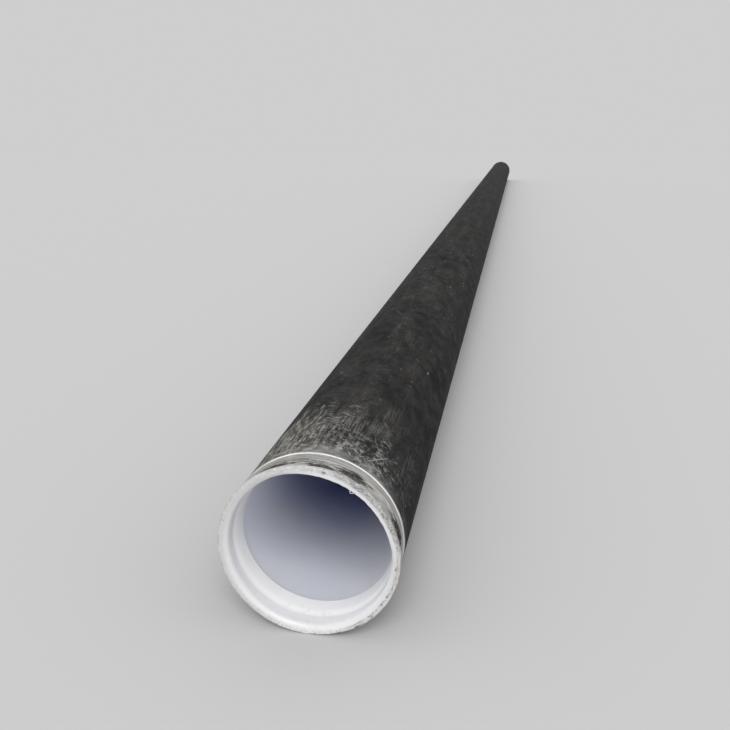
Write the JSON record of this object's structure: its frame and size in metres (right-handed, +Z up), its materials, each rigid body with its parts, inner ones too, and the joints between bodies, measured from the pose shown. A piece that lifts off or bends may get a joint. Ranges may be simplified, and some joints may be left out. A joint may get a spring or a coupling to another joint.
{
  "type": "plastic-lined steel pipe",
  "caption": "Straight steel water pipe with a black plastic coat, a white plastic lining turned out as a lip over each end, and a rolled coupling groove near each end.",
  "frame": {"origin": "on the floor under the middle of the pipe's length, where the lips rest", "axes": "+Y along the pipe from the end that the picture shows to the far end, +Z up, +X to the right seen from the near end"},
  "size_m": [0.1444, 6.007, 0.1448],
  "materials": {
    "steel": "bare mill steel, hidden between the two plastic layers",
    "coating": "satin black plastic coat, scuffed and dusty, worn pale at the ends",
    "lining": "smooth white plastic with a satin sheen, rougher and chipped on the lip"
  },
  "bodies": {
    "root": {"steel_pipe": "steel", "outer_coating": "coating", "plastic_lining": "lining"}
  },
  "joints": []
}
